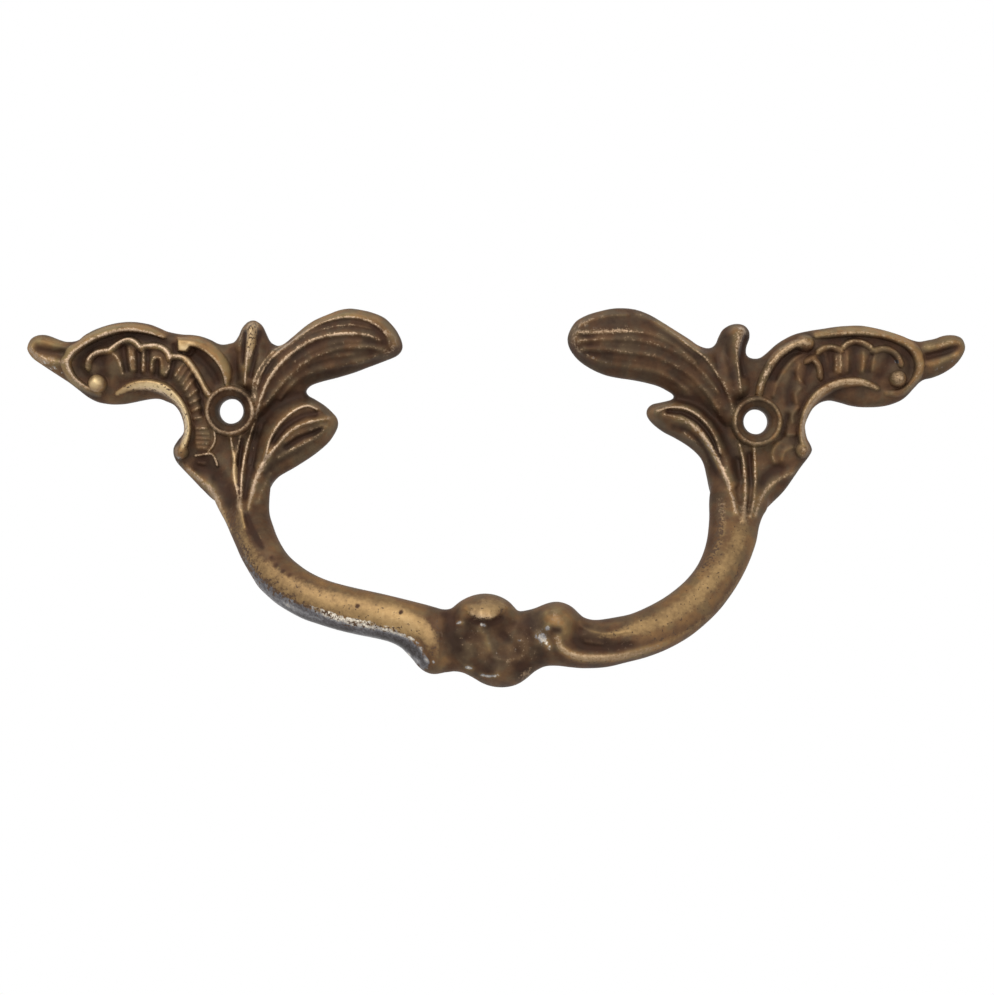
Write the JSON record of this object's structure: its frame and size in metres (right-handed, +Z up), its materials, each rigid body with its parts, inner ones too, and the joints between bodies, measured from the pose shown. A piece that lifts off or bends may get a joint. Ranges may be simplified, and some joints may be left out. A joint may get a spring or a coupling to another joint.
{
  "type": "drawer pull",
  "caption": "Cast brass rococo drawer pull: two foliate back plates with countersunk screw holes, joined by a bail with a knotted leaf boss.",
  "frame": {"origin": "midway between the axes of the two screw holes, on the flat back of the plates, which lies on the drawer front", "axes": "+X along the pull, from its left screw hole to its right one as seen from the front, +Z up, and the front of the pull faces -Y"},
  "size_m": [0.1431, 0.0254, 0.0569],
  "materials": {
    "brass": "aged cast brass, dark brown patina in the recesses, worn golden on the high places"
  },
  "bodies": {
    "root": {"cast_pull": "brass"}
  },
  "joints": []
}
